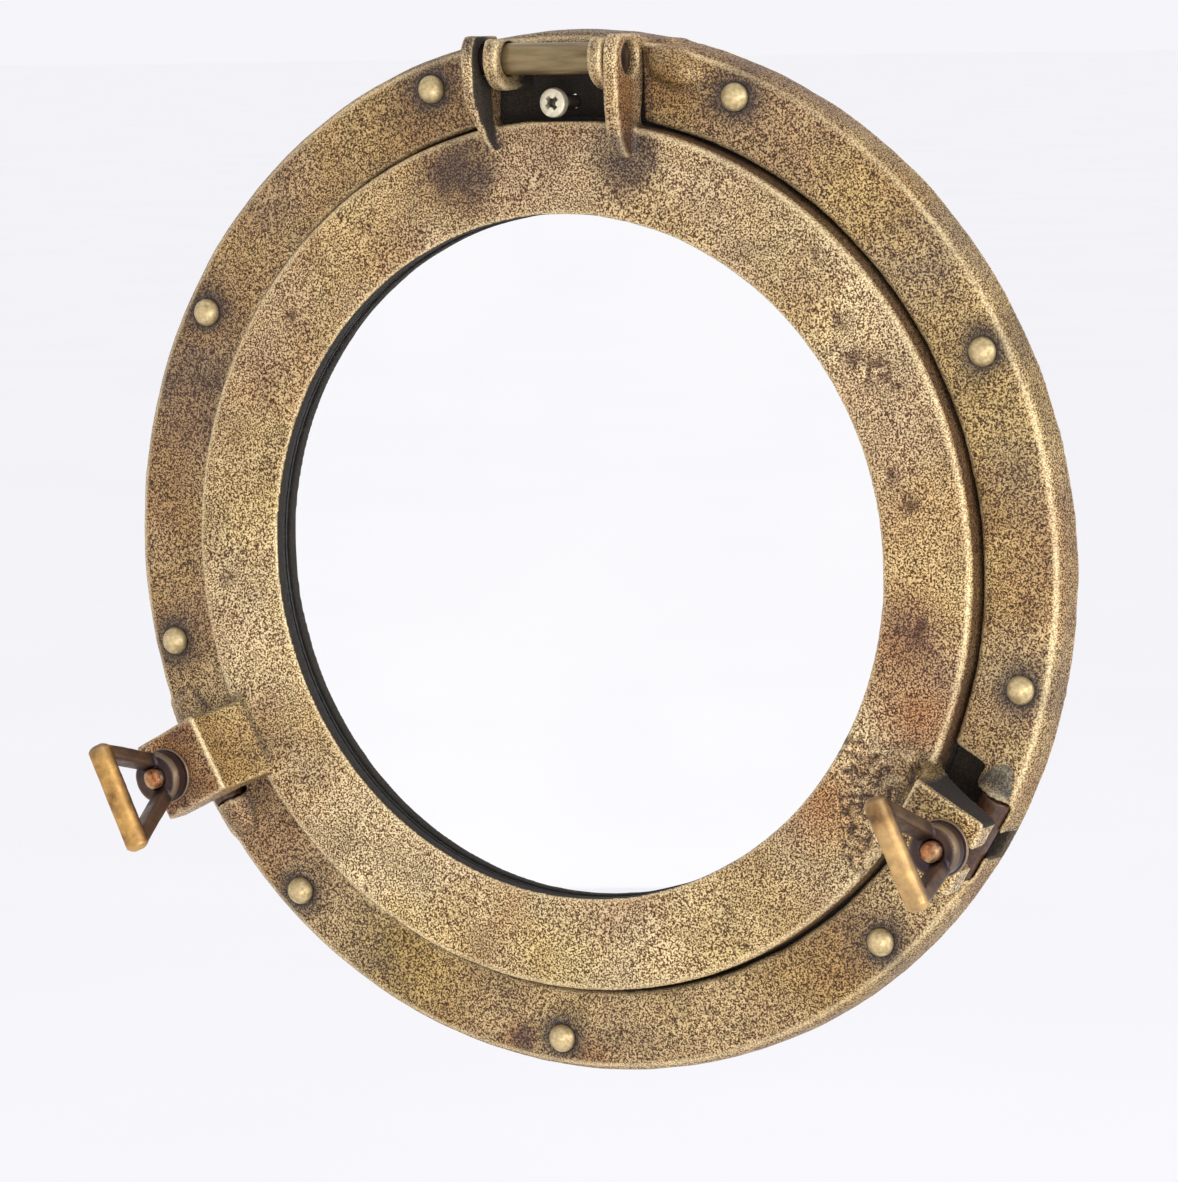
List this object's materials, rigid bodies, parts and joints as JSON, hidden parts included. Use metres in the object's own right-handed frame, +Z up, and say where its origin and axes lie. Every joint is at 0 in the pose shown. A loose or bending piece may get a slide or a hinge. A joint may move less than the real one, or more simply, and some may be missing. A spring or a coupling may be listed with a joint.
{
  "type": "opening porthole",
  "caption": "Round cast brass porthole with a wide riveted wall flange, a top-hinged mirror door ring, and swing-bolt dogs with cast wing nuts.",
  "frame": {"origin": "centre of the mounting flange's flat back face, on the wall plane", "axes": "+X right and +Z up as seen from the front, +Y into the wall; the door and the dogs face -Y and the hinge is at the top"},
  "size_m": [0.3048, 0.0646, 0.3048],
  "materials": {
    "cast_brass": "sand-cast, antiqued, speckled and satin",
    "worn_brass": "rubbed smooth, satin",
    "dark_bronze": "dark patina, satin",
    "zinc": "bright zinc plate",
    "rubber": "matt",
    "mirror": "silvered plate glass",
    "board": "matt hardboard"
  },
  "bodies": {
    "flange": {"mounting_flange": "cast_brass", "rivet_1": "worn_brass", "rivet_2": "worn_brass", "rivet_3": "worn_brass", "rivet_4": "worn_brass", "rivet_5": "worn_brass", "rivet_6": "worn_brass", "rivet_7": "worn_brass", "rivet_8": "worn_brass", "rivet_9": "worn_brass", "wall_screw": "zinc", "door_seal": "rubber", "hinge_pin": "worn_brass", "dog_pin_left": "worn_brass", "dog_pin_right": "worn_brass"},
    "door": {"door_ring": "cast_brass", "mirror_glass": "mirror", "glass_gasket": "rubber", "backing_plate": "board", "retaining_clip_1": "dark_bronze", "retaining_clip_2": "dark_bronze", "retaining_clip_3": "dark_bronze", "retaining_clip_4": "dark_bronze", "clip_screw_1": "zinc", "clip_screw_2": "zinc", "clip_screw_3": "zinc", "clip_screw_4": "zinc"},
    "left_dog": {"dog_bolt_left": "dark_bronze"},
    "left_washer": {"dog_washer_left": "dark_bronze"},
    "left_nut": {"wing_nut_left": "worn_brass"},
    "right_dog": {"dog_bolt_right": "dark_bronze"},
    "right_washer": {"dog_washer_right": "dark_bronze"},
    "right_nut": {"wing_nut_right": "worn_brass"}
  },
  "joints": [
    {"name": "door_hinge", "type": "hinge", "parent": "flange", "child": "door", "pos_m": [-0.0008, -0.018, 0.1442], "axis": [-1, 0, 0], "range_deg": [0, 105]},
    {"name": "left_dog_swing", "type": "hinge", "parent": "flange", "child": "left_dog", "pos_m": [-0.12888, -0.0105, -0.06709], "axis": [0.4617, 0, -0.887], "range_deg": [0, 75]},
    {"name": "left_nut_travel", "type": "slide", "parent": "left_dog", "child": "left_washer", "axis": [-0.031, -0.9994, -0.0161], "range_m": [0, 0.003]},
    {"name": "left_nut_spin", "type": "hinge", "parent": "left_washer", "child": "left_nut", "pos_m": [-0.12888, -0.0105, -0.06709], "axis": [-0.031, -0.9994, -0.0161], "range_deg": [0, 1090]},
    {"name": "right_dog_swing", "type": "hinge", "parent": "flange", "child": "right_dog", "pos_m": [0.12468, -0.0105, -0.07462], "axis": [0.5135, 0, 0.8581], "range_deg": [0, 75]},
    {"name": "right_nut_travel", "type": "slide", "parent": "right_dog", "child": "right_washer", "axis": [0, -1, 0], "range_m": [0, 0.003]},
    {"name": "right_nut_spin", "type": "hinge", "parent": "right_washer", "child": "right_nut", "pos_m": [0.12468, -0.0105, -0.07462], "axis": [0, -1, 0], "range_deg": [0, 1090]}
  ],
  "couplings": [
    {"joint": "left_nut_spin", "follows": "left_nut_travel", "rad_per_m": 6283.2},
    {"joint": "right_nut_spin", "follows": "right_nut_travel", "rad_per_m": 6283.2}
  ]
}
